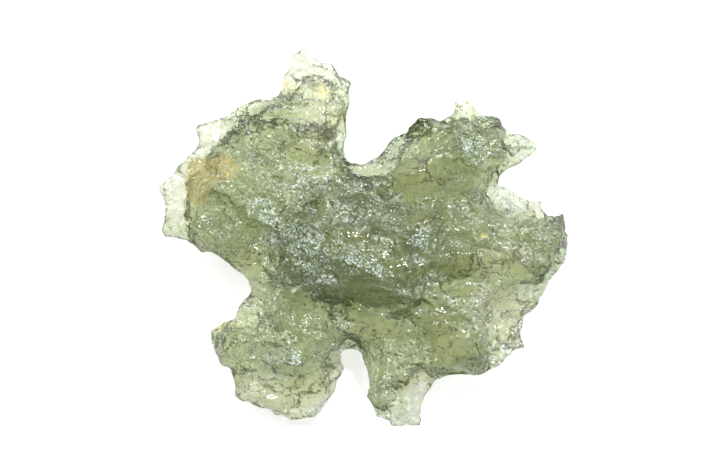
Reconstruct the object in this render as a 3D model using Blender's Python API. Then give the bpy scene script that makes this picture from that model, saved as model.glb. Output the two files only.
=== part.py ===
"""A moldavite: one piece of natural green glass, etched in the ground into lobes, bowls and grooves.

It lies on its flatter side. +Z is up, +Y points to the tip of the tallest lobe, and the origin is
the middle of the footprint at the height of the surface that the stone rests on.

The stone is made as nature made it. A wavy plate with a scalloped rim carries the thicker masses,
and a voxel skin melts them into one body. A Boolean then takes off the round bowls, grooves and
pits that etching leaves, and sharp ridges are left standing between them. Lengths are in
millimetres until the last step, which turns the mesh into metres.
"""

import math
import random

import bmesh
import bpy
import numpy as np
from mathutils import Matrix, Vector, noise
from mathutils.bvhtree import BVHTree

# Driving dimensions of the finished stone, in millimetres.
LENGTH_X = 30.0
LENGTH_Y = 27.8
THICKNESS = 9.0

# How the body is skinned, in millimetres.
PLATE_THICKNESS = 0.9
RIM_THICKNESS = 0.7
BODY_VOXEL = 0.26
CUTTER_VOXEL = 0.24
SCULPT_VOXEL = 0.20
BALL_STEP = 0.3
FINE_BALL = 1.0
LEAST_WALL = 0.55
FAR_OUTSIDE = 50.0
FLAT_SPOT_CUT = 0.85
MOST_TRIANGLES = 9500

# The rim, tip by tip and clockwise as seen from above: x, y, height, and how far the edge to the
# next tip bows in. Each run of the rim is named for the lobe that it bounds.
WEST_RIM = [
    (-8.6, -2.8, 3.2, 0.0),
    (-9.2, -2.8, 3.5, 0.0),
    (-11.3, -1.3, 3.8, 0.0),
    (-12.0, -1.2, 3.8, 0.0),
    (-12.0, -0.5, 3.7, 0.1),
    (-14.4, 0.0, 3.9, 0.0),
    (-14.8, 0.7, 4.1, 0.4),
    (-15.0, 3.8, 4.4, 0.1),
    (-12.6, 6.2, 4.1, 0.0),
    (-12.1, 7.0, 4.1, 0.0),
    (-12.4, 7.8, 4.3, 0.0),
    (-12.2, 8.3, 4.4, 0.25),
]
NORTH_WEST_RIM = [
    (-10.1, 9.1, 3.9, 0.15),
    (-8.4, 10.1, 3.8, 0.0),
    (-7.8, 10.4, 3.9, 0.35),
    (-6.2, 10.7, 4.6, 0.0),
    (-5.9, 10.9, 4.8, 0.0),
    (-6.2, 11.2, 4.9, 0.05),
    (-5.3, 13.4, 5.1, 0.1),
    (-4.2, 13.9, 5.3, 0.55),
    (-2.1, 12.6, 5.4, 0.25),
    (-0.9, 11.2, 5.2, 0.0),
    (-1.1, 8.1, 4.9, 0.0),
    (-1.0, 7.5, 4.7, 0.0),
    (-1.3, 7.1, 4.6, 0.0),
    (-1.4, 6.1, 4.4, 0.25),
]
NORTH_EAST_RIM = [
    (-0.2, 5.3, 4.2, 0.2),
    (1.7, 7.2, 4.8, 0.2),
    (3.7, 9.0, 5.8, 0.4),
    (6.1, 9.5, 3.8, 0.0),
    (6.3, 10.3, 3.4, 0.0),
    (6.6, 10.4, 3.3, -0.15),
    (8.3, 9.1, 4.6, 0.0),
    (9.5, 9.1, 5.6, 0.0),
    (10.4, 7.8, 5.2, -0.2),
    (12.5, 6.9, 3.7, 0.0),
    (12.4, 6.2, 3.7, 0.0),
    (11.2, 5.7, 4.4, 0.0),
    (11.2, 5.4, 4.6, -0.1),
    (9.4, 4.1, 3.4, 0.0),
]
EAST_RIM = [
    (10.0, 4.1, 2.0, 0.15),
    (11.7, 3.1, 1.8, 0.0),
    (12.5, 3.1, 1.8, 0.0),
    (13.2, 2.9, 1.9, 0.0),
    (13.0, 2.2, 2.6, 0.1),
    (14.6, 2.3, 4.6, 0.0),
    (14.6, -0.4, 3.9, 0.1),
    (15.0, -1.4, 1.9, 0.0),
    (14.6, -1.7, 1.7, 0.0),
    (13.3, -3.2, 1.6, 0.0),
]
SOUTH_EAST_RIM = [
    (12.7, -4.9, 2.0, 0.0),
    (11.6, -6.0, 2.1, 0.4),
    (11.9, -8.0, 2.3, 0.0),
    (10.8, -8.0, 2.6, 0.0),
    (10.1, -9.0, 3.1, -0.1),
    (7.7, -10.1, 3.5, 0.45),
]
SOUTH_RIM = [
    (4.6, -10.9, 3.0, 0.15),
    (4.1, -13.7, 2.0, 0.1),
    (2.1, -13.8, 2.1, 0.0),
    (1.6, -13.3, 3.3, 0.0),
    (0.6, -13.0, 3.8, 0.15),
    (-0.1, -11.3, 3.7, 0.2),
    (-0.1, -8.3, 3.7, 0.0),
    (-0.7, -8.1, 3.6, 0.0),
]
SOUTH_WEST_RIM = [
    (-1.4, -8.3, 2.4, 0.15),
    (-1.2, -9.5, 1.9, 0.05),
    (-2.0, -11.5, 1.8, 0.0),
    (-2.8, -11.7, 1.8, 0.0),
    (-2.9, -12.5, 1.8, 0.0),
    (-3.8, -13.1, 1.8, 0.0),
    (-5.2, -13.3, 1.8, 0.0),
    (-8.1, -12.5, 1.9, 0.15),
    (-9.5, -11.5, 2.0, 0.1),
    (-10.4, -9.4, 2.5, -0.15),
    (-11.6, -7.0, 3.1, 0.0),
    (-11.5, -6.5, 3.2, 0.0),
    (-10.4, -5.6, 3.2, 0.0),
    (-9.9, -5.7, 3.1, 0.0),
    (-9.6, -5.4, 3.1, 0.0),
]
RIM = (
    WEST_RIM
    + NORTH_WEST_RIM
    + NORTH_EAST_RIM
    + EAST_RIM
    + SOUTH_EAST_RIM
    + SOUTH_RIM
    + SOUTH_WEST_RIM
)

# Sections of a mass: how far in from its rim, and how much of its swell is reached there.
CUSHION = [(0.93, 0.34), (0.80, 0.64), (0.60, 0.88), (0.34, 1.0)]
DOME = [(0.88, 0.20), (0.74, 0.42), (0.58, 0.64), (0.40, 0.84), (0.20, 1.0)]
STEEP = [(0.97, 0.50), (0.92, 0.85), (0.80, 1.0)]

# The thicker masses: section, height of the mass's own rim, how far it swells up and down from
# there, and its outline as seen from above.
MASSES = {
    "core": (DOME, 4.2, 4.6, 4.4, [
        (-9.2, -1.6), (-8.4, -3.6), (-6.6, -5.8), (-3.6, -7.2), (-0.6, -7.4), (3.0, -7.8),
        (6.4, -6.4), (8.6, -3.6), (9.6, -0.4), (9.0, 2.6), (6.6, 4.4), (3.2, 4.8),
        (0.0, 4.6), (-3.0, 5.4), (-6.2, 5.2), (-8.6, 2.6),
    ]),
    "bed": (STEEP, 3.8, 1.9, 1.9, [
        (-13.0, 1.4), (-11.2, -0.8), (-9.0, -2.6), (-9.0, -5.2), (-10.6, -6.6), (-9.2, -9.0),
        (-6.0, -9.8), (-3.0, -9.0), (-1.4, -7.6), (0.2, -8.0), (0.8, -10.8), (2.2, -11.6),
        (3.4, -10.2), (5.0, -9.4), (7.8, -9.4), (9.6, -7.6), (10.2, -4.4), (13.0, -2.6),
        (13.8, -0.2), (13.2, 1.4), (9.8, 2.2), (9.0, 4.2), (10.6, 5.8), (9.2, 8.0),
        (6.4, 8.6), (3.6, 8.0), (1.6, 6.6), (-0.2, 4.8), (-1.8, 6.2), (-2.2, 9.4),
        (-4.4, 10.0), (-6.4, 9.6), (-8.6, 9.0), (-10.8, 6.8), (-12.8, 3.8),
    ]),
    "west": (CUSHION, 4.0, 2.5, 2.3, [
        (-10.9, 7.5), (-12.0, 5.3), (-13.0, 3.5), (-13.4, 1.3), (-12.3, -0.3), (-9.4, -1.9),
        (-6.5, -1.6), (-5.4, 2.8), (-5.8, 6.4), (-7.6, 8.5), (-9.4, 8.6),
    ]),
    "north_west": (CUSHION, 4.8, 1.5, 1.5, [
        (-7.5, 9.3), (-5.8, 10.6), (-4.7, 12.2), (-3.4, 12.4), (-1.8, 11.5), (-1.2, 10.4),
        (-1.4, 6.4), (-2.5, 4.8), (-5.4, 5.0), (-7.2, 6.7),
    ]),
    "north_east": (CUSHION, 5.1, 3.1, 2.3, [
        (0.4, 5.2), (2.0, 7.0), (3.6, 8.6), (5.4, 8.6), (7.2, 9.6), (8.6, 9.2), (9.8, 8.6),
        (10.3, 7.8), (10.3, 6.7), (10.9, 5.4), (9.6, 4.5), (8.7, 3.1), (7.6, 1.7),
        (5.4, 1.2), (3.3, 2.2), (1.2, 3.6),
    ]),
    "east": (CUSHION, 4.6, 2.7, 2.5, [
        (5.0, 2.4), (8.9, 2.9), (10.2, 1.7), (11.4, 1.5), (13.1, 2.0), (14.4, 2.2),
        (14.5, 0.9), (14.4, -0.4), (13.2, -3.3), (12.9, -3.8), (9.8, -3.5), (5.4, -3.3),
    ]),
    "south_east": (CUSHION, 3.6, 2.9, 2.3, [
        (2.5, -4.2), (5.4, -3.0), (8.0, -3.9), (8.6, -5.6), (9.1, -7.8), (9.6, -8.8),
        (7.8, -10.0), (6.5, -9.8), (5.1, -9.9), (4.0, -9.7), (2.7, -8.1),
    ]),
    "south": (CUSHION, 3.6, 2.1, 1.7, [
        (-1.1, -5.4), (-0.2, -8.1), (0.2, -9.9), (0.1, -11.4), (0.7, -12.8), (1.4, -13.2),
        (2.4, -12.0), (3.3, -10.7), (3.9, -9.0), (3.6, -6.5),
    ]),
    "south_west": (CUSHION, 3.5, 2.6, 1.9, [
        (-8.7, -3.6), (-9.7, -5.6), (-11.2, -6.2), (-11.5, -7.5), (-10.4, -9.0),
        (-6.9, -9.6), (-5.4, -10.3), (-3.8, -10.0), (-1.4, -8.3), (-0.5, -8.0),
        (-0.6, -5.0), (-4.7, -4.2), (-6.9, -4.2),
    ]),
    "low_south_west": (CUSHION, 1.9, 0.9, 1.0, [
        (-10.2, -9.6), (-9.5, -11.2), (-8.1, -12.2), (-5.6, -13.1), (-4.0, -12.8),
        (-3.1, -11.9), (-2.2, -11.2), (-1.4, -9.6), (-1.6, -8.1), (-6.2, -7.6), (-9.1, -7.9),
    ]),
    "low_south_east": (CUSHION, 2.1, 0.8, 0.9, [
        (7.6, -3.2), (12.9, -4.0), (12.5, -4.8), (11.3, -5.8), (11.1, -6.8), (11.6, -7.8),
        (10.2, -8.4), (8.0, -7.8),
    ]),
    "low_east": (CUSHION, 1.9, 0.7, 0.8, [
        (9.1, 3.6), (10.2, 3.9), (11.7, 3.1), (13.0, 2.8), (13.1, 1.5), (9.6, 0.2),
    ]),
}

# Bowls and grooves that can be told apart on the top: ball radius, depth below the surface
# there, and the path that the ball takes, as seen from above.
TOP_GROOVES = {
    "north west bowl": (2.0, 1.0, [(-4.7, 5.9), (-2.9, 6.1)]),
    "west crescent": (1.7, 0.5, [(-8.7, 5.6), (-6.5, 4.9), (-4.8, 3.5)]),
    "olive bowl": (2.0, 1.3, [(-8.6, -2.0), (-7.9, -0.9)]),
    "neck": (2.6, 1.0, [(-9.0, -4.6), (-7.9, -3.6)]),
    "south valley": (1.6, 1.2, [(-3.6, -5.2), (-1.1, -5.1), (1.5, -6.1), (3.6, -7.9)]),
    "south east bowl": (2.5, 1.5, [(6.3, -6.9), (6.2, -8.2)]),
    "east band": (1.4, 1.0, [(4.8, -3.1), (8.3, -2.9), (12.2, -3.4)]),
    "east hollow": (2.2, 0.9, [(6.9, -0.1), (9.3, -0.9)]),
    "north east sweep": (2.0, 1.3, [(4.5, 6.2), (5.2, 4.1), (7.4, 2.3)]),
    "north east facet": (2.6, 0.9, [(2.6, 7.3), (4.2, 8.3)]),
    "crown hollow": (1.7, 1.2, [(-1.0, 0.4), (0.5, 0.0)]),
    "crown groove": (1.1, 0.9, [(1.5, -1.8), (3.2, -1.5), (4.8, -1.8)]),
    "north valley": (1.4, 1.2, [(-4.7, 3.4), (-2.9, 2.4), (-1.4, 2.2)]),
    "dark pit": (0.6, 0.9, [(-4.8, -1.3), (-4.1, -1.5)]),
    "crack": (0.5, 0.8, [(-4.6, -4.3), (-3.0, -4.5)]),
    "streak": (1.0, 0.7, [(3.3, 1.5), (6.3, 1.6)]),
    "crown pit": (0.9, 1.1, [(1.6, 0.2), (1.6, -0.5)]),
    "south west hollow": (1.1, 1.2, [(-8.6, -8.7), (-6.3, -8.6)]),
    "south west fold": (0.9, 0.9, [(-4.6, -8.2), (-2.2, -8.5)]),
    "fringe scallop": (1.7, 0.7, [(-5.8, -10.9), (-4.4, -10.8)]),
    "north west pane": (2.4, 0.7, [(-4.1, 9.4), (-2.9, 8.5)]),
    "west window": (1.2, 1.2, [(-11.1, 7.4), (-10.5, 7.6)]),
    "west pane": (1.6, 0.8, [(-13.6, 2.0), (-13.7, 3.4)]),
    "north step": (1.2, 1.0, [(-7.9, 7.2), (-6.2, 7.9), (-5.0, 8.4)]),
    "east trough": (1.1, 1.0, [(8.6, 3.9), (9.1, 2.4), (10.4, 0.8)]),
    "south bowl": (1.3, 0.9, [(2.0, -10.2), (2.5, -11.0)]),
    "south shelf": (1.5, 1.0, [(3.2, -11.9), (3.0, -13.0)]),
    "crown saddle": (1.5, 0.9, [(-5.6, -0.2), (-3.8, 0.6)]),
    "crown scoop": (1.3, 0.9, [(2.7, 2.8), (1.4, 3.6)]),
    "south terrace": (1.4, 0.8, [(-7.6, -6.4), (-5.2, -6.9), (-3.4, -6.7)]),
    "east notch": (1.0, 0.9, [(12.0, 0.4), (13.4, 0.5)]),
    "ledge dish": (1.5, 0.5, [(10.0, -5.4), (10.4, -6.6)]),
}
# The same on the underside, which no picture shows: broad bowls around the flatter middle.
UNDER_GROOVES = {
    "west dish": (3.2, 1.0, [(-10.6, 2.0), (-10.0, 4.4)]),
    "north dish": (2.8, 0.9, [(-4.6, 8.4), (-3.6, 10.0)]),
    "north valley": (1.5, 0.7, [(-5.4, 5.4), (-1.6, 4.2), (1.4, 4.6)]),
    "north east dish": (3.0, 1.2, [(5.8, 6.8), (7.6, 6.0)]),
    "east dish": (2.6, 1.0, [(10.4, -0.6), (11.8, 0.6)]),
    "south east valley": (1.5, 0.7, [(3.6, -3.4), (6.4, -5.2), (8.2, -7.8)]),
    "south dish": (2.0, 0.8, [(1.8, -8.6), (2.0, -10.6)]),
    "south west dish": (2.6, 1.0, [(-7.8, -6.8), (-6.0, -9.4)]),
    "west valley": (1.4, 0.7, [(-8.6, -1.6), (-5.8, -3.2), (-2.8, -5.4)]),
    "middle groove": (1.2, 0.7, [(-4.4, 2.6), (-2.6, 2.0), (-1.2, 2.4)]),
}
# Bites in the side of the stone, between its upper and its lower rim: ball radius and path.
SIDE_BITES = {
    "east undercut": (1.0, [(10.6, 4.0, 3.2), (12.2, 3.0, 3.2), (13.8, 2.9, 3.1)]),
    "south east undercut": (0.9, [(13.6, -3.9, 3.0), (14.8, -1.6, 3.0)]),
    "south west undercut": (0.9, [(-8.0, -10.9, 3.6), (-4.6, -11.4, 3.3), (-1.6, -10.0, 3.1)]),
    "south undercut": (0.8, [(2.6, -13.4, 3.5), (4.2, -12.2, 3.5)]),
}

# Scoops too many to name: seed, how many, ball radius from and to, depth as a share of radius.
SCOOPS = [
    (11, 260, 1.0, 2.4, 0.28),
    (12, 700, 0.55, 1.0, 0.50),
]
# Small scoops outnumber large ones by this power, and the longest is this much longer than wide.
SCOOP_BIAS = 1.5
LONGEST_SCOOP = 1.8
# The etching follows the layers of the glass: their direction as seen from above, in radians.
FLOW_ANGLE = -0.25
FLOW_SPREAD = 0.5

# Slow waves that take the stiffness out of the surface: sideways and upward swing, and length. The
# seed settles where they lie.
WAVES = [(0.15, 0.55, 4.6), (0.12, 0.25, 1.9)]
WAVE_SEED = 3

GLASS_COLOUR = (0.52, 0.60, 0.36, 1.0)
GLASS_ROUGHNESS = 0.28
GLASS_IOR = 1.49
MM_TO_M = 0.001
ARC_STEP = 0.7


def clear_scene():
    for old in list(bpy.data.objects):
        bpy.data.objects.remove(old, do_unlink=True)


def scalloped(tips):
    """Points along a rim: a shallow arc from each tip to the next, bowed in by the tip's own sag."""
    points = []
    for here, there in zip(tips, tips[1:] + tips[:1]):
        start, end = Vector(here[:3]), Vector(there[:3])
        across = end - start
        inwards = Vector((across.y, -across.x, 0.0)).normalized()
        count = max(1, round(across.length / ARC_STEP))
        for step in range(count):
            share = step / count
            sag = here[3] * math.sin(math.pi * share)
            points.append(start + across * share + inwards * sag)
    return points


def add_plate(bm, thickness):
    """The wavy plate whose edge is the stone's outline."""
    rim = [bm.verts.new(point) for point in scalloped(RIM)]
    face = bm.faces.new(rim)
    sheet = bmesh.ops.triangulate(bm, faces=[face], ngon_method="BEAUTY")["faces"]
    for vert in rim:
        vert.co.z -= thickness / 2
    raised = bmesh.ops.extrude_face_region(bm, geom=sheet, use_keep_orig=True)["geom"]
    tops = [part for part in raised if isinstance(part, bmesh.types.BMVert)]
    bmesh.ops.translate(bm, verts=tops, vec=(0.0, 0.0, thickness))


def swell(bm, face, height, section):
    """Pulls a face of a mass away from its rim in narrowing rings, as its section says."""
    centre = face.calc_center_median()
    direction = 1.0 if height > 0 else -1.0
    width_done, rise_done = 1.0, 0.0
    for width, rise in section:
        pulled = bmesh.ops.extrude_face_region(bm, geom=[face])["geom"]
        face = next(part for part in pulled if isinstance(part, bmesh.types.BMFace))
        ring = list(face.verts)
        to_centre = Matrix.Translation(-centre)
        narrowing = width / width_done
        bmesh.ops.scale(bm, verts=ring, vec=(narrowing, narrowing, 1.0), space=to_centre)
        lift = direction * (rise - rise_done) * abs(height)
        bmesh.ops.translate(bm, verts=ring, vec=(0.0, 0.0, lift))
        width_done, rise_done = width, rise


def add_mass(bm, section, rim_height, up, down, outline):
    """One rounded mass, from its rim up and down."""
    low = rim_height - RIM_THICKNESS / 2
    ring = [bm.verts.new((x, y, low)) for x, y in outline]
    bottom = bm.faces.new(ring)
    raised = bmesh.ops.extrude_face_region(bm, geom=[bottom], use_keep_orig=True)["geom"]
    top = next(part for part in raised if isinstance(part, bmesh.types.BMFace))
    bmesh.ops.translate(bm, verts=list(top.verts), vec=(0.0, 0.0, RIM_THICKNESS))
    swell(bm, top, up, section)
    swell(bm, bottom, -down, section)


def mesh_of(bm, name):
    mesh = bpy.data.meshes.new(name)
    bm.to_mesh(mesh)
    bm.free()
    return mesh


def evaluated_mesh(holder):
    """A copy of an object's mesh with its modifiers applied."""
    bpy.context.view_layer.update()
    graph = bpy.context.evaluated_depsgraph_get()
    return bpy.data.meshes.new_from_object(holder.evaluated_get(graph))


def skinned(mesh, voxel):
    """The mesh under one even skin, which joins whatever overlaps in it."""
    holder = bpy.data.objects.new("skinning", mesh)
    bpy.context.scene.collection.objects.link(holder)
    skin = holder.modifiers.new("skin", "REMESH")
    skin.mode = "VOXEL"
    skin.voxel_size = voxel
    result = evaluated_mesh(holder)
    bpy.data.objects.remove(holder, do_unlink=True)
    return result


def relaxed(mesh, rounds):
    """Smooths away the steps that a voxel skin leaves."""
    bm = bmesh.new()
    bm.from_mesh(mesh)
    for _ in range(rounds):
        bmesh.ops.smooth_vert(
            bm, verts=bm.verts, factor=0.5, use_axis_x=True, use_axis_y=True, use_axis_z=True
        )
    bm.to_mesh(mesh)
    bm.free()
    return mesh


def points_of(mesh):
    flat = np.empty(len(mesh.vertices) * 3, np.float32)
    mesh.vertices.foreach_get("co", flat)
    return flat.reshape(-1, 3).astype(float)


def put_points(mesh, points):
    mesh.vertices.foreach_set("co", points.astype(np.float32).ravel())
    mesh.update()


def waved(mesh):
    """Moves the surface along slow waves of noise, the same ones for every mesh."""
    noise.seed_set(WAVE_SEED)
    points = points_of(mesh)
    for sideways, upwards, wavelength in WAVES:
        drift = np.array([noise.noise_vector(Vector(point) / wavelength) for point in points])
        points += drift * (sideways, sideways, upwards)
    put_points(mesh, points)
    return mesh


def tree_of(mesh):
    bm = bmesh.new()
    bm.from_mesh(mesh)
    tree = BVHTree.FromBMesh(bm)
    bm.free()
    return tree


def height_at(tree, x, y, side):
    """Height of the top (side 1) or the underside (side -1) at a place, or None past the rim."""
    start = Vector((x, y, side * FAR_OUTSIDE))
    hit = tree.ray_cast(start, Vector((0.0, 0.0, -side)))[0]
    return None if hit is None else hit.z


def unit_ball(rounds):
    """A ball of radius 1, which every cutter of its fineness copies."""
    bm = bmesh.new()
    bmesh.ops.create_icosphere(bm, subdivisions=rounds, radius=1.0)
    return mesh_of(bm, "ball")


def add_ball(bm, centre, radius, along=Vector((1.0, 0.0, 0.0)), stretch=1.0):
    """A ball, or an egg that is longer along one direction."""
    turn = along.to_track_quat("X", "Z").to_matrix().to_4x4()
    size = Matrix.Diagonal((radius * stretch, radius, radius, 1.0))
    ball = unit_ball(3 if radius > FINE_BALL else 2)
    ball.transform(Matrix.Translation(centre) @ turn @ size)
    bm.from_mesh(ball)
    bpy.data.meshes.remove(ball)


def places_along(path, step):
    """Points along a path of straight runs, its ends included, no further apart than the step."""
    corners = [Vector(corner) for corner in path]
    places = [corners[0]]
    for start, end in zip(corners, corners[1:]):
        count = math.ceil((end - start).length / step)
        places += [start.lerp(end, number / count) for number in range(1, count + 1)]
    return places


def add_grooves(bm, tree, grooves, side):
    """A row of balls for each named groove, each ball set from the surface that it sinks into."""
    for radius, depth, path in grooves.values():
        for place in places_along(path, BALL_STEP * radius):
            height = height_at(tree, place.x, place.y, side)
            if height is not None:
                centre = Vector((place.x, place.y, height + side * (radius - depth)))
                add_ball(bm, centre, radius)


def add_bites(bm):
    for radius, path in SIDE_BITES.values():
        for place in places_along(path, BALL_STEP * radius):
            add_ball(bm, place, radius)


def add_scoops(bm, mesh, scoops):
    """Random eggs all over the surface, each square to the surface where it lies and turned
    along the layers of the glass."""
    seed, count, smallest, largest, depth_share = scoops
    rng = random.Random(seed)
    for _ in range(count):
        vert = mesh.vertices[rng.randrange(len(mesh.vertices))]
        radius = smallest + (largest - smallest) * rng.random() ** SCOOP_BIAS
        turn = rng.gauss(FLOW_ANGLE, FLOW_SPREAD)
        flow = Vector((math.cos(turn), math.sin(turn), 0.0))
        along = flow - vert.normal * flow.dot(vert.normal)
        centre = vert.co + vert.normal * radius * (1.0 - depth_share)
        add_ball(bm, centre, radius, along, rng.uniform(1.0, LONGEST_SCOOP))


def cutters(mesh):
    """All that etching takes off the body, under one skin."""
    tree = tree_of(mesh)
    bm = bmesh.new()
    add_grooves(bm, tree, TOP_GROOVES, 1)
    add_grooves(bm, tree, UNDER_GROOVES, -1)
    add_bites(bm)
    for scoops in SCOOPS:
        add_scoops(bm, mesh, scoops)
    balls = mesh_of(bm, "balls")
    return skinned(balls, CUTTER_VOXEL)


def less(mesh, taken):
    """What is left of a body when another is taken off it."""
    holder = bpy.data.objects.new("body", mesh)
    cutter = bpy.data.objects.new("cutter", taken)
    for item in (holder, cutter):
        bpy.context.scene.collection.objects.link(item)
    cut = holder.modifiers.new("etching", "BOOLEAN")
    cut.operation = "DIFFERENCE"
    cut.object = cutter
    result = evaluated_mesh(holder)
    for item in (holder, cutter):
        bpy.data.objects.remove(item, do_unlink=True)
    return result


def largest_piece(mesh):
    """Drops the crumbs that etching cuts loose."""
    bm = bmesh.new()
    bm.from_mesh(mesh)
    waiting, pieces = set(bm.verts), []
    while waiting:
        frontier = [waiting.pop()]
        piece = set(frontier)
        while frontier:
            vert = frontier.pop()
            found = {edge.other_vert(vert) for edge in vert.link_edges} - piece
            piece |= found
            frontier += found
        waiting -= piece
        pieces.append(piece)
    pieces.sort(key=len)
    for crumb in pieces[:-1]:
        bmesh.ops.delete(bm, geom=list(crumb), context="VERTS")
    bm.to_mesh(mesh)
    bm.free()
    return mesh


def sized(mesh):
    """Scales the stone to its driving dimensions and centres it over the origin."""
    points = points_of(mesh)
    low, high = points.min(axis=0), points.max(axis=0)
    middle = (low + high) / 2
    wanted = np.array([LENGTH_X, LENGTH_Y, THICKNESS + FLAT_SPOT_CUT])
    points = (points - middle) * (wanted / (high - low))
    points[:, 2] += wanted[2] / 2 - FLAT_SPOT_CUT
    put_points(mesh, points)
    return mesh


def thinned(mesh):
    """Collapses edges where the surface is even, down to the triangles that the solid may have."""
    triangles = sum(len(face.vertices) - 2 for face in mesh.polygons)
    holder = bpy.data.objects.new("thinning", mesh)
    bpy.context.scene.collection.objects.link(holder)
    fewer = holder.modifiers.new("fewer", "DECIMATE")
    fewer.ratio = MOST_TRIANGLES / triangles
    fewer.use_collapse_triangulate = True
    result = evaluated_mesh(holder)
    bpy.data.objects.remove(holder, do_unlink=True)
    return result


def worn_flat(mesh):
    """Cuts off what dips below the resting plane, which leaves the small flat spot that the stone
    sits on."""
    bm = bmesh.new()
    bm.from_mesh(mesh)
    everything = bm.verts[:] + bm.edges[:] + bm.faces[:]
    cut = bmesh.ops.bisect_plane(bm, geom=everything, plane_no=(0.0, 0.0, 1.0), clear_inner=True)
    rim = [part for part in cut["geom_cut"] if isinstance(part, bmesh.types.BMEdge)]
    for vert in {vert for edge in rim for vert in edge.verts}:
        vert.co.z = 0.0
    bmesh.ops.triangle_fill(bm, edges=rim, use_beauty=True, normal=(0.0, 0.0, -1.0))
    bmesh.ops.triangulate(bm, faces=bm.faces)
    bmesh.ops.recalc_face_normals(bm, faces=bm.faces)
    bm.to_mesh(mesh)
    bm.free()
    return mesh


def glass():
    material = bpy.data.materials.new("green_glass")
    material.use_nodes = True
    shader = material.node_tree.nodes["Principled BSDF"]
    shader.inputs["Base Color"].default_value = GLASS_COLOUR
    shader.inputs["Roughness"].default_value = GLASS_ROUGHNESS
    shader.inputs["IOR"].default_value = GLASS_IOR
    shader.inputs["Metallic"].default_value = 0.0
    shader.inputs["Transmission Weight"].default_value = 0.9
    return material


def plate_mesh(thickness):
    bm = bmesh.new()
    add_plate(bm, thickness)
    bmesh.ops.recalc_face_normals(bm, faces=bm.faces)
    return mesh_of(bm, "plate")


def body_mesh():
    """The unetched body: plate and masses under one skin."""
    bm = bmesh.new()
    add_plate(bm, PLATE_THICKNESS)
    for section, rim_height, up, down, outline in MASSES.values():
        add_mass(bm, section, rim_height, up, down, outline)
    bmesh.ops.recalc_face_normals(bm, faces=bm.faces)
    return waved(relaxed(skinned(mesh_of(bm, "body"), BODY_VOXEL), 2))


def etched(body):
    """The body less its bowls and grooves. A thin web stays where they would meet through it."""
    carved = less(body, cutters(body))
    web = waved(skinned(plate_mesh(LEAST_WALL), CUTTER_VOXEL))
    bm = bmesh.new()
    bm.from_mesh(carved)
    bm.from_mesh(web)
    return largest_piece(relaxed(skinned(mesh_of(bm, "etched"), SCULPT_VOXEL), 1))


def build():
    clear_scene()
    mesh = worn_flat(sized(thinned(etched(body_mesh()))))
    mesh.transform(Matrix.Scale(MM_TO_M, 4))
    mesh.name = "moldavite"
    mesh.materials.clear()
    mesh.materials.append(glass())
    mesh.shade_smooth()
    stone = bpy.data.objects.new("moldavite", mesh)
    bpy.context.scene.collection.objects.link(stone)
    return stone


build()
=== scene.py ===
# %% [markdown]
# # A moldavite, from its solid to its finish
#
# Moldavite is natural glass. It was thrown out molten by a meteorite's strike, and then lay in
# the ground for millions of years, where water etched it into lobes, bowls and sharp ridges. This
# one is olive green and see-through. Its middle is thick and dark, its rims are thin and almost
# colourless, and fine pits give most of it a frosted, sparkling skin.
#
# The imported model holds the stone's solid at its real size. This script keeps that shape, adds
# the fine etching that the solid leaves out, and gives the glass its finish and its light.

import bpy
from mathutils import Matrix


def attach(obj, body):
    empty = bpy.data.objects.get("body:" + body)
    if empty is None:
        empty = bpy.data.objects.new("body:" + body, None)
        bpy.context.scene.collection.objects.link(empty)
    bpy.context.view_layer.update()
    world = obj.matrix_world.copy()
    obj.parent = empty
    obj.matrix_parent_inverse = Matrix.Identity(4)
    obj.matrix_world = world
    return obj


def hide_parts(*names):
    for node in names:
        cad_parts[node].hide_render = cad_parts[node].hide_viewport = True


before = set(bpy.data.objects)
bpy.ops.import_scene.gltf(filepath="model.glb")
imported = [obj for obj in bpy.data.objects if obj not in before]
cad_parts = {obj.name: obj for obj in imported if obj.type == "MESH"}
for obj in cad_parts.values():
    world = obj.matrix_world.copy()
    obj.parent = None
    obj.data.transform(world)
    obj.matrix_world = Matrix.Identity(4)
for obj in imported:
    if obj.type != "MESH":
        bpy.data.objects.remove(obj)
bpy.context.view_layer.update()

# %% [markdown]
# ## Units and tools
#
# The model is in metres, and the stone is 30 mm across. Its details are easier to think about in
# millimetres, so places and sizes below are given in millimetres and multiplied by `MM` where
# they meet Blender. +X is right and +Y is up in the view from above.

# %% Imports and units
import math

import bmesh
import bpy
import numpy as np
from mathutils import Matrix, Vector, noise
from mathutils.bvhtree import BVHTree

MM = 0.001
print("a millimetre is", MM, "of Blender's units")

# %% [markdown]
# ## A camera straight above the stone
#
# The stone is seen from straight above, and fills a bit over half of the width of a 708 by 472
# picture. A long lens from far off keeps high and low parts of the stone at nearly the same scale,
# as in a close-up taken from a stand. In that picture 414 pixels are 30 mm, the stone's length.

# %% Camera
PICTURE_WIDE, PICTURE_HIGH = 708, 472
STONE_MIDDLE_PX = (365, 238)
MM_PER_PX = 30 / 414
LENS, SENSOR = 180, 36
MIDDLE_HEIGHT = 4.5

camera_data = bpy.data.cameras.new("camera")
camera_data.lens = LENS
camera_data.sensor_width = SENSOR
camera_data.clip_start = 1 * MM
camera = bpy.data.objects.new("camera", camera_data)
bpy.context.scene.collection.objects.link(camera)
bpy.context.scene.camera = camera

width_seen = PICTURE_WIDE * MM_PER_PX
distance = width_seen * LENS / SENSOR
camera.location = (
    (PICTURE_WIDE / 2 - STONE_MIDDLE_PX[0]) * MM_PER_PX * MM,
    (STONE_MIDDLE_PX[1] - PICTURE_HIGH / 2) * MM_PER_PX * MM,
    (MIDDLE_HEIGHT + distance) * MM,
)
print("the camera hangs", round(distance), "mm up and sees", round(width_seen, 1), "mm across")

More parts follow.
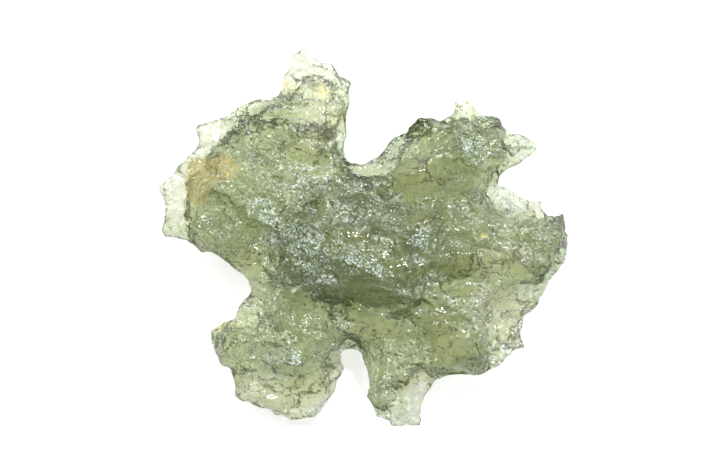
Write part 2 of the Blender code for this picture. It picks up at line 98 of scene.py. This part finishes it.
# %% [markdown]
# ## One skin, fine enough to carve
#
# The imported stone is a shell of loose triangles, about half a millimetre each. That is too coarse
# for pits, and its facets would show. One could subdivide it, but that keeps the uneven facets.
# Instead the triangles are merged, one round of subdivision rounds the facets off, and a voxel
# remesh lays an even net of small faces over it all.

# %% A smooth, even copy of the solid
SKIN_VOXEL = 0.15
solid = bpy.data.objects["moldavite"]


def merged_copy(source, name):
    """A new object with the source's mesh, its loose triangles sewn together."""
    bm = bmesh.new()
    bm.from_mesh(source.data)
    bmesh.ops.remove_doubles(bm, verts=bm.verts, dist=0.001 * MM)
    mesh = bpy.data.meshes.new(name)
    bm.to_mesh(mesh)
    bm.free()
    piece = bpy.data.objects.new(name, mesh)
    bpy.context.scene.collection.objects.link(piece)
    return piece


def apply_modifiers(piece):
    """Puts what the modifiers make in the place of the mesh, and takes the modifiers off."""
    bpy.context.view_layer.update()
    graph = bpy.context.evaluated_depsgraph_get()
    made = bpy.data.meshes.new_from_object(piece.evaluated_get(graph))
    piece.modifiers.clear()
    piece.data = made


stone = merged_copy(solid, "moldavite_glass")
rounding = stone.modifiers.new("rounding", "SUBSURF")
rounding.levels = rounding.render_levels = 1
skin = stone.modifiers.new("skin", "REMESH")
skin.mode = "VOXEL"
skin.voxel_size = SKIN_VOXEL * MM
apply_modifiers(stone)
print("the skin has", len(stone.data.polygons), "faces")

# %% [markdown]
# ## Where the glass is smooth and where it is frosted
#
# Etching left some grooves and bowls smooth and glossy, and covered the rest with pits. Each
# smooth place that can be told apart is a short path with a radius, like a stroke of a round
# brush. A path drawn with a ruler would look painted on, so the points are first shaken a little by
# noise. Noise also adds smooth patches of no fixed place, on the sides and the underside too. Each
# vertex gets a number, 0 for frosted and 1 for smooth, because the carving and the material both
# need it.

# %% The smooth places, as brush strokes: radius and path in millimetres
WOBBLE, WOBBLE_SIZE = 0.25, 0.9
PATCH_SIZE = 2.2
SMOOTH_STROKES = [
    (1.1, [(-8.3, -1.9), (-8.1, -1.3)]),
    (0.6, [(-3.4, 2.5), (-2.7, 2.5)]),
    (0.6, [(-1.4, 0.3), (-0.3, 0.1)]),
    (0.5, [(1.8, -1.9), (4.1, -2.3)]),
    (0.4, [(3.5, 1.3), (5.9, 1.5)]),
    (0.7, [(-5.7, -4.3), (-1.5, -4.9), (0.0, -5.7), (2.2, -6.7)]),
    (1.3, [(6.5, -1.7), (9.0, -2.1)]),
    (1.6, [(5.8, -7.2), (6.2, -8.2)]),
    (1.7, [(3.4, 4.4), (5.3, 4.9)]),
    (0.9, [(3.6, 8.2), (4.8, 8.1)]),
    (1.2, [(-12.6, 2.2), (-13.2, 3.4)]),
    (0.9, [(-11.0, 7.5), (-10.8, 7.6)]),
    (0.9, [(-4.8, 6.2), (-3.2, 6.0)]),
    (1.3, [(-6.6, -11.4), (-3.6, -11.2)]),
    (0.8, [(3.2, -10.6), (3.2, -12.4)]),
]


def points_of(mesh):
    flat = np.empty(len(mesh.vertices) * 3, np.float32)
    mesh.vertices.foreach_get("co", flat)
    return flat.reshape(-1, 3).astype(float) / MM


def normals_of(mesh):
    flat = np.empty(len(mesh.vertices) * 3, np.float32)
    mesh.vertices.foreach_get("normal", flat)
    return flat.reshape(-1, 3).astype(float)


def eased(values):
    """Numbers from 0 to 1, eased in and out, and cut off beyond."""
    values = np.clip(values, 0.0, 1.0)
    return values * values * (3.0 - 2.0 * values)


def stroke(points, radius, path):
    """How far each point lies under a stroke seen from above: 1 on its line, 0 past its edge."""
    nearest = np.full(len(points), np.inf)
    for start, end in zip(path, path[1:]):
        start, run = np.array(start), np.array(end) - np.array(start)
        share = np.clip((points[:, :2] - start) @ run / (run @ run), 0.0, 1.0)
        far = np.linalg.norm(points[:, :2] - start - share[:, None] * run, axis=1)
        nearest = np.minimum(nearest, far)
    return eased(2.0 * (1.0 - nearest / radius))


def noise_field(points, size, seed):
    """Smooth noise from -1 to 1, with lumps of about the given size."""
    shift = Vector((7.3, 1.9, 4.7)) * seed
    return np.array([noise.noise(Vector(point) / size + shift) for point in points])


points, normals = points_of(stone.data), normals_of(stone.data)
looks_up = eased(2.0 * normals[:, 2])
drift = [noise_field(points, WOBBLE_SIZE, seed) for seed in (1, 2, 3)]
wobble = points + WOBBLE * np.stack(drift, axis=1)
smooth = np.zeros(len(points))
for radius, path in SMOOTH_STROKES:
    smooth = np.maximum(smooth, stroke(wobble, radius, path) * looks_up)
patches = eased(2.5 * noise_field(points, PATCH_SIZE, 4) - 0.35)
smooth = np.maximum(0.85 * smooth, 0.6 * patches)
print("smooth share of the skin:", round(float(smooth.mean()), 2))

# %% [markdown]
# ## How thick the glass is under each point
#
# The thin rims look almost colourless, and carving must not eat them away. For each vertex a ray
# is sent inwards, and its length to the far side tells how thin the glass is there. It starts just
# below the skin, so that it doesn't hit the face that it leaves from. The shares are then evened
# out between neighbours, because on the real stone a rim turns into the body bit by bit.

# %% Thin places
THIN_BELOW = 1.8
THIN_ROUNDS = 25
RAY_START = 0.01


def evened(mesh, values, rounds):
    """The values, evened out between neighbouring vertices so many times."""
    ends = np.empty(len(mesh.edges) * 2, np.int32)
    mesh.edges.foreach_get("vertices", ends)
    first, second = ends.reshape(-1, 2).T
    count = len(mesh.vertices)
    neighbours = np.bincount(first, minlength=count) + np.bincount(second, minlength=count)
    for _ in range(rounds):
        total = np.bincount(first, values[second], count) + np.bincount(second, values[first], count)
        values = 0.5 * values + 0.5 * total / neighbours
    return values


skin_tree = BVHTree.FromObject(stone, bpy.context.evaluated_depsgraph_get())
thickness = np.full(len(points), THIN_BELOW)
for number, vert in enumerate(stone.data.vertices):
    inwards = -vert.normal
    start = vert.co + inwards * RAY_START * MM
    place, normal, face, length = skin_tree.ray_cast(start, inwards, THIN_BELOW * MM)
    if place is not None:
        thickness[number] = length / MM
thin = evened(stone.data, eased(1.0 - thickness / THIN_BELOW), THIN_ROUNDS)
print("thin share of the skin:", round(float(thin.mean()), 2))

# %% [markdown]
# ## Carving the fine etching
#
# Etching pits are tiny bowls that meet in sharp ridges, which is just the pattern that cell noise
# makes: it measures how far a point is from the nearest of many scattered seeds. Sinking the skin
# most at the seeds gives bowls, and leaves ridges halfway between them. Three sizes of bowl are
# carved, stretched along the layers of the glass. The smooth places and the thin rims are mostly
# spared. The skin is raised a little first, so that carving it doesn't make the stone smaller, but
# not near the foot, which has to stay on its level.

# %% Three sizes of etching pit
FLOW_ANGLE = -0.25
FLOW_STRETCH = 1.5
PITS = [(2.2, 0.32), (1.2, 0.30), (0.6, 0.17)]
CELL_REACH = 0.75
RISE_SHARE = 0.3
FOOT_HEIGHT = 0.6


def along_the_layers(points, size):
    """Points turned so that X runs along the layers, and squeezed that way, in units of a pit."""
    turn, lean = math.cos(FLOW_ANGLE), math.sin(FLOW_ANGLE)
    along = points[:, 0] * turn + points[:, 1] * lean
    across = points[:, 1] * turn - points[:, 0] * lean
    return np.stack([along / FLOW_STRETCH, across, points[:, 2]], axis=1) / size


def bowls(points, size):
    """1 at the middle of each bowl, 0 on the ridges between bowls."""
    cells = along_the_layers(points, size)
    nearest = np.array([noise.voronoi(Vector(cell))[0][0] for cell in cells])
    return np.clip(1.0 - (nearest / CELL_REACH) ** 2, 0.0, 1.0)


depth = np.zeros(len(points))
for size, deepest in PITS:
    depth += deepest * bowls(wobble, size)
ridge = 1.0 - depth / sum(deepest for size, deepest in PITS)
depth *= (1.0 - 0.8 * smooth) * (1.0 - 0.7 * thin)
rise = RISE_SHARE * depth.mean() * eased(points[:, 2] / FOOT_HEIGHT)
carved = points + normals * (rise - depth)[:, None]
stone.data.vertices.foreach_set("co", (carved * MM).astype(np.float32).ravel())
stone.data.update()
print("the deepest pit is", round(float(depth.max()), 2), "mm deep")

# %% [markdown]
# ## Where the glass is dark, pale or stained, and where glints are painted
#
# The material has to know where the glass is darker or paler, where glints are painted on it, and
# where the ochre clay and the small yellow stains lie. Painting these by hand would need an image.
# Here they are brush strokes again, each with a radius and a path.

# %% Stains, layers and places of painted glints, as brush strokes
STROKES = {
    "clay": [
        (1.4, [(-12.1, 4.9), (-10.2, 5.2)]),
        (1.3, [(-11.9, 4.4), (-11.9, 3.4)]),
    ],
    "stain": [
        (0.6, [(-5.9, 11.2), (-5.8, 11.1)]),
        (0.7, [(-3.1, 10.7), (-3.0, 10.6)]),
        (0.4, [(-10.7, -6.2), (-10.6, -6.1)]),
        (0.3, [(8.5, 0.1), (8.6, 0.1)]),
    ],
    "dark": [
        (2.2, [(6.3, 5.4), (7.6, 7.0)]),
        (1.0, [(-9.8, 8.0), (-7.5, 9.1)]),
        (0.9, [(-10.1, 6.6), (-7.3, 6.0), (-6.0, 7.0)]),
        (1.1, [(2.3, -10.5), (2.3, -9.7)]),
        (0.9, [(-10.0, -7.4), (-6.5, -9.6), (-2.4, -8.4)]),
        (0.8, [(13.9, 1.8), (14.3, -1.0), (12.8, -3.4)]),
        (2.2, [(-5.4, -0.6), (-3.4, -2.8), (-0.6, -3.2)]),
        (1.8, [(-0.2, 1.4), (2.6, 0.2)]),
        (1.6, [(-4.4, 3.0), (-1.6, 3.6), (1.6, 3.2)]),
        (1.0, [(-6.4, -3.6), (-3.2, -4.3), (0.8, -5.2)]),
        (1.5, [(-0.6, 5.2), (0.2, 4.9), (1.9, 6.7), (3.7, 8.8)]),
        (0.8, [(6.5, -9.2), (9.4, -8.8)]),
    ],
    "pale": [
        (2.6, [(9.4, -5.0), (10.8, -6.8)]),
        (1.4, [(10.2, 3.2), (12.6, 2.2)]),
        (1.5, [(-8.2, -11.4), (-5.0, -12.2), (-2.4, -10.6)]),
        (0.9, [(3.9, -10.2), (3.6, -12.8)]),
        (1.9, [(-4.3, 13.6), (-3.9, 11.6), (-3.2, 7.8)]),
        (1.3, [(-13.9, 2.0), (-14.1, 4.0)]),
        (1.0, [(-11.4, 7.6), (-10.8, 7.6)]),
        (0.9, [(-8.8, -4.4), (-8.2, -4.0)]),
        (1.5, [(9.0, -1.9), (11.8, -1.2)]),
    ],
    # Places where glints are painted on the skin as a bluish, milky tint.
    "painted_glint": [
        (1.5, [(-5.2, 4.7), (-3.6, 4.4)]),
        (1.0, [(-1.1, 1.9), (0.0, 1.6)]),
        (1.2, [(1.2, -0.6), (2.0, -0.9)]),
        (1.2, [(3.7, -1.4), (4.2, 0.8)]),
        (1.0, [(-6.4, -8.9), (-5.2, -8.7)]),
        (0.8, [(-7.0, -9.8), (-6.2, -9.9)]),
        (1.9, [(-4.4, 0.2), (-3.4, -3.2)]),
        (1.2, [(-1.0, -1.6), (0.6, -2.4)]),
        (1.2, [(7.2, 7.6), (8.4, 5.6)]),
        (1.3, [(-7.4, 2.0), (-6.6, 0.2)]),
    ],
}
print("strokes:", {name: len(paths) for name, paths in STROKES.items()})

# %% [markdown]
# ## Numbers on the vertices
#
# A number on each vertex is called an attribute. It stays with the mesh, and the shader reads it by
# its name. The shares below mix the strokes with noise of two sizes, so that no stroke ends in a
# clean edge, and with the ridges of the carving: the bowls get a darker tone as painted shade, and
# the ridges get painted glints. The thin rims get grey streaks, from noise that is drawn out along
# the layers of the glass.

# %% Mix the strokes and keep them
MOTTLE_SIZE, GRAIN_SIZE = 0.7, 0.3
STREAK_SIZE, STREAK_STRETCH, RIM_STREAKS = 0.45, (0.5, 1.4, 1.4), 0.7


def strokes(name):
    """The strongest of the named strokes at each point, on what looks up."""
    shares = [stroke(wobble, radius, path) for radius, path in STROKES[name]]
    return np.max(shares, axis=0) * looks_up


def keep_numbers(mesh, name, values):
    layer = mesh.attributes.new(name, "FLOAT", "POINT")
    layer.data.foreach_set("value", values.astype(np.float32))
    print(name, "on average:", round(float(values.mean()), 2))


mottle = 0.5 + 0.5 * noise_field(points, MOTTLE_SIZE, 6)
grain = 0.5 + 0.5 * noise_field(points, GRAIN_SIZE, 7)
speckle = 0.25 + 0.75 * eased(2.2 * grain + 0.8 * mottle - 1.0)
thin *= 1.0 - strokes("dark")
frosted = (1.0 - 0.9 * smooth) * (1.0 - 0.15 * thin)
clay = 0.95 * strokes("clay") * eased(1.8 * grain)
# A darker tone, mottled and strongest along the dark strokes. The factor (1.3 - ridge) adds painted
# shade in the bowls of the carving.
dark = np.maximum(strokes("dark"), 0.4) * eased(2.0 * mottle - 0.3) * (1.3 - ridge)
dark = np.maximum(dark, 0.35 * strokes("dark"))
drawn_out = along_the_layers(points, 1.0) * STREAK_STRETCH
streaks = 0.5 + 0.5 * noise_field(drawn_out, STREAK_SIZE, 8)
dark = np.maximum(dark, RIM_STREAKS * thin * eased(3.0 * streaks - 1.3))
# Painted glints: a bluish, milky tint for facets along the glint strokes and on the ridges of the
# carving.
painted_glint = np.maximum(strokes("painted_glint"), 0.5 * eased(1.9 * ridge - 0.3)) * frosted * (1.0 - clay)
keep_numbers(stone.data, "frosted", frosted)
keep_numbers(stone.data, "thin", thin * speckle)
keep_numbers(stone.data, "clay", clay)
keep_numbers(stone.data, "stain", 0.8 * strokes("stain"))
keep_numbers(stone.data, "dark", dark)
keep_numbers(stone.data, "pale", strokes("pale"))
keep_numbers(stone.data, "painted_glint", painted_glint)
stone.data.shade_smooth()

# %% [markdown]
# ## Small steps for building a shader
#
# A shader is a tree of nodes. Python can add and link them one by one, but that takes many lines
# that say little. These helpers each add one node and give back its output, so that the glass
# below reads almost like arithmetic.

# %% Helpers that add nodes
def add(tree, kind, **settings):
    node = tree.nodes.new(kind)
    for name, value in settings.items():
        setattr(node, name, value)
    return node


def attribute(tree, name):
    """The number that each vertex keeps under this name."""
    return add(tree, "ShaderNodeAttribute", attribute_name=name).outputs["Fac"]


def in_range(tree, share, start, end):
    """0 up to the start, 1 from the end on, and even in between."""
    node = add(tree, "ShaderNodeMapRange")
    tree.links.new(share, node.inputs["Value"])
    node.inputs["From Min"].default_value = start
    node.inputs["From Max"].default_value = end
    return node.outputs["Result"]


def blend(tree, share, low, high):
    """A number that runs from low to high with the share."""
    node = add(tree, "ShaderNodeMapRange")
    tree.links.new(share, node.inputs["Value"])
    node.inputs["To Min"].default_value = low
    node.inputs["To Max"].default_value = high
    return node.outputs["Result"]


def math_step(tree, operation, first, second):
    """One step of arithmetic on two numbers."""
    node = add(tree, "ShaderNodeMath", operation=operation)
    tree.links.new(first, node.inputs[0])
    tree.links.new(second, node.inputs[1])
    return node.outputs["Value"]


def blend_colour(tree, share, low, high):
    """A colour that runs from low to high with the share. Low may be another node's colour."""
    node = add(tree, "ShaderNodeMix", data_type="RGBA")
    # The node has sockets named A, B and Result for each kind of data, so these go by number.
    factor, first, second, result = node.inputs[0], node.inputs[6], node.inputs[7], node.outputs[2]
    tree.links.new(share, factor)
    if isinstance(low, tuple):
        first.default_value = low
    else:
        tree.links.new(low, first)
    second.default_value = high
    return result


def cells(tree, place, size):
    """Cell noise with cells of the given size in millimetres."""
    node = add(tree, "ShaderNodeTexVoronoi")
    node.inputs["Scale"].default_value = 1.0 / (size * MM)
    tree.links.new(place, node.inputs["Vector"])
    return node


print("helpers ready")

# %% [markdown]
# ## Frost too fine for the mesh
#
# The finest etching is a matter of how the skin scatters light. Bump mapping tilts the skin's
# normals as if small bowls were there. On top of that, cell noise cuts the skin into facets about a
# tenth of a millimetre wide and tilts each its own way, so that some mirror a lamp and sparkle. One
# could raise the roughness instead, but that gives an even, milky skin without any sparkle.

# %% The skin's fine tilt
MICRO_PITS = [(0.9, 0.20), (0.45, 0.16)]
FACET_SIZE = 0.12
FACET_TILT = 0.5


def tilted(tree, place, facets, share):
    """The normal of the frosted skin: small bowls first, then a tilt for each facet."""
    normal = None
    for size, deepest in MICRO_PITS:
        bump = add(tree, "ShaderNodeBump")
        bump.inputs["Distance"].default_value = deepest * MM
        tree.links.new(share, bump.inputs["Strength"])
        tree.links.new(cells(tree, place, size).outputs["Distance"], bump.inputs["Height"])
        if normal:
            tree.links.new(normal, bump.inputs["Normal"])
        normal = bump.outputs["Normal"]
    centred = add(tree, "ShaderNodeVectorMath", operation="SUBTRACT")
    tree.links.new(facets.outputs["Color"], centred.inputs[0])
    centred.inputs[1].default_value = (0.5, 0.5, 0.5)
    lean = add(tree, "ShaderNodeVectorMath", operation="SCALE")
    tree.links.new(centred.outputs["Vector"], lean.inputs[0])
    tree.links.new(blend(tree, share, 0.0, FACET_TILT), lean.inputs["Scale"])
    leaning = add(tree, "ShaderNodeVectorMath", operation="ADD")
    tree.links.new(normal, leaning.inputs[0])
    tree.links.new(lean.outputs["Vector"], leaning.inputs[1])
    even = add(tree, "ShaderNodeVectorMath", operation="NORMALIZE")
    tree.links.new(leaning.outputs["Vector"], even.inputs[0])
    return even.outputs["Vector"]


print("facets of", FACET_SIZE, "mm over pits of", [size for size, deepest in MICRO_PITS], "mm")

# %% [markdown]
# ## The glass
#
# Real glass gets most of its colour inside, not on its skin: the longer the way of the light, the
# greener and darker it comes out. So the shader is see-through, and a volume absorbs blue most and
# green least. That alone makes the thick middle dark and the thin rims pale. The skin adds a light
# tint of its own. It differs between smooth, dark, pale and thin places, and it is darker in the
# bowls of the carving as painted shade. Clay, stains, thin rims and the painted glints are milky, so
# less light passes there. The painted glints are bluish facets on the ridges and in a few places. The
# roughness is low in the smooth grooves and higher where the glass is frosted.

# %% Glass material
GLASS_IOR = 1.49
ABSORBED_COLOUR = (0.57, 0.60, 0.36, 1.0)
ABSORBED_DENSITY = 400.0
SMOOTH_ROUGHNESS, FROSTED_ROUGHNESS = 0.08, 0.22
CLEAR, MILKY = 0.95, 0.45
MILKY_THIN = 0.8
PAINTED_GLINT_FROM, PAINTED_GLINT_TO = 0.45, 0.95
SMOOTH_TINT = (0.82, 0.82, 0.46, 1.0)
FROSTED_TINT = (0.74, 0.81, 0.52, 1.0)
# The colour of the darker tone, which also carries the painted shade in the bowls.
DARK_AND_SHADE_TINT = (0.36, 0.43, 0.29, 1.0)
PALE_TINT = (0.93, 0.91, 0.72, 1.0)
THIN_TINT = (0.80, 0.82, 0.74, 1.0)
CLAY_TINT = (0.37, 0.30, 0.09, 1.0)
STAIN_TINT = (0.80, 0.66, 0.24, 1.0)
# The bluish colour of the painted glints.
PAINTED_GLINT_TINT = (0.60, 0.68, 0.69, 1.0)


def glass():
    material = bpy.data.materials.new("moldavite_glass")
    material.use_nodes = True
    tree = material.node_tree
    shader = tree.nodes["Principled BSDF"]
    shader.inputs["IOR"].default_value = GLASS_IOR
    place = add(tree, "ShaderNodeTexCoord").outputs["Object"]
    frosted_share, clay_share = attribute(tree, "frosted"), attribute(tree, "clay")
    thin_share, stain_share = attribute(tree, "thin"), attribute(tree, "stain")
    facets = cells(tree, place, FACET_SIZE)
    channels = add(tree, "ShaderNodeSeparateColor")
    tree.links.new(facets.outputs["Color"], channels.inputs["Color"])
    # Painted glints: the brightest cells get a bluish, milky tint where the glint share is high.
    bright = in_range(tree, channels.outputs["Red"], PAINTED_GLINT_FROM, PAINTED_GLINT_TO)
    painted_glint_share = math_step(tree, "MULTIPLY", bright, attribute(tree, "painted_glint"))
    tint = blend_colour(tree, frosted_share, SMOOTH_TINT, FROSTED_TINT)
    # The darker tone, with the painted shade in the bowls of the carving.
    tint = blend_colour(tree, attribute(tree, "dark"), tint, DARK_AND_SHADE_TINT)
    tint = blend_colour(tree, attribute(tree, "pale"), tint, PALE_TINT)
    tint = blend_colour(tree, thin_share, tint, THIN_TINT)
    tint = blend_colour(tree, clay_share, tint, CLAY_TINT)
    tint = blend_colour(tree, stain_share, tint, STAIN_TINT)
    tint = blend_colour(tree, painted_glint_share, tint, PAINTED_GLINT_TINT)
    milky = math_step(tree, "MAXIMUM", clay_share, blend(tree, thin_share, 0.0, MILKY_THIN))
    milky = math_step(tree, "MAXIMUM", milky, painted_glint_share)
    milky = math_step(tree, "MAXIMUM", milky, stain_share)
    roughness = blend(tree, frosted_share, SMOOTH_ROUGHNESS, FROSTED_ROUGHNESS)
    tree.links.new(tint, shader.inputs["Base Color"])
    tree.links.new(roughness, shader.inputs["Roughness"])
    tree.links.new(blend(tree, milky, CLEAR, MILKY), shader.inputs["Transmission Weight"])
    tree.links.new(tilted(tree, place, facets, frosted_share), shader.inputs["Normal"])
    absorption = add(tree, "ShaderNodeVolumeAbsorption")
    absorption.inputs["Color"].default_value = ABSORBED_COLOUR
    absorption.inputs["Density"].default_value = ABSORBED_DENSITY
    tree.links.new(absorption.outputs["Volume"], tree.nodes["Material Output"].inputs["Volume"])
    return material


stone.data.materials.clear()
stone.data.materials.append(glass())
print("glass of refractive index", GLASS_IOR)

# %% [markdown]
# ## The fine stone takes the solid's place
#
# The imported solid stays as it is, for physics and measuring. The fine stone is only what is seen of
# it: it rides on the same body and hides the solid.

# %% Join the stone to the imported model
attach(stone, "root")
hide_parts("moldavite")
print(stone.name, "stands for", solid.name)

# %% [markdown]
# ## A pale floor
#
# A see-through stone shows what lies behind it. On a plain white sheet it would stand on its own
# dark shadow, so the sheet also glows a little, as a light table does. It lies a hair below the
# stone, so that the two faces don't share a plane.

# %% Floor
FLOOR_SIDE = 600.0
FLOOR_GAP = 0.05
FLOOR_GLOW = 0.72


def floor_material():
    material = bpy.data.materials.new("white_floor")
    material.use_nodes = True
    shader = material.node_tree.nodes["Principled BSDF"]
    shader.inputs["Base Color"].default_value = (0.4, 0.4, 0.4, 1.0)
    shader.inputs["Roughness"].default_value = 0.9
    shader.inputs["Emission Color"].default_value = (1.0, 1.0, 0.985, 1.0)
    shader.inputs["Emission Strength"].default_value = FLOOR_GLOW
    return material


bm = bmesh.new()
below = Matrix.Translation((0.0, 0.0, -FLOOR_GAP * MM))
bmesh.ops.create_grid(bm, x_segments=1, y_segments=1, size=FLOOR_SIDE / 2 * MM, matrix=below)
floor_mesh = bpy.data.meshes.new("floor")
bm.to_mesh(floor_mesh)
bm.free()
floor_mesh.materials.append(floor_material())
floor = bpy.data.objects.new("floor", floor_mesh)
bpy.context.scene.collection.objects.link(floor)
print("a floor of", FLOOR_SIDE, "mm a side")

# %% [markdown]
# ## Soft light with two small lamps in it
#
# A large soft lamp from the upper left draws the ridges. Two small, slightly blue ones, one high
# and one low, are what the facets mirror when they sparkle. A dim, even sky fills the shadows.

# %% Lamps and sky: name, place and side in millimetres, watts and colour
SKY_COLOUR, SKY_STRENGTH = (0.95, 0.98, 1.0, 1.0), 0.35
LAMPS = [
    ("large_lamp", (-130.0, 120.0, 170.0), 120.0, 0.55, (1.0, 0.99, 0.97)),
    ("spark_lamp", (40.0, 90.0, 210.0), 24.0, 0.45, (0.90, 0.96, 1.0)),
    ("low_lamp", (170.0, 60.0, 90.0), 40.0, 0.30, (0.90, 0.96, 1.0)),
]


def add_lamp(name, place, side, watts, colour):
    data = bpy.data.lights.new(name, "AREA")
    data.size = side * MM
    data.energy = watts
    data.color = colour
    lamp = bpy.data.objects.new(name, data)
    lamp.location = Vector(place) * MM
    lamp.rotation_euler = (-lamp.location).to_track_quat("-Z", "Y").to_euler()
    bpy.context.scene.collection.objects.link(lamp)


for lamp in LAMPS:
    add_lamp(*lamp)
world = bpy.data.worlds.new("sky")
world.use_nodes = True
background = world.node_tree.nodes["Background"]
background.inputs["Color"].default_value = SKY_COLOUR
background.inputs["Strength"].default_value = SKY_STRENGTH
bpy.context.scene.world = world
bpy.context.scene.view_settings.view_transform = "Standard"
print(len(LAMPS), "lamps and an even sky")
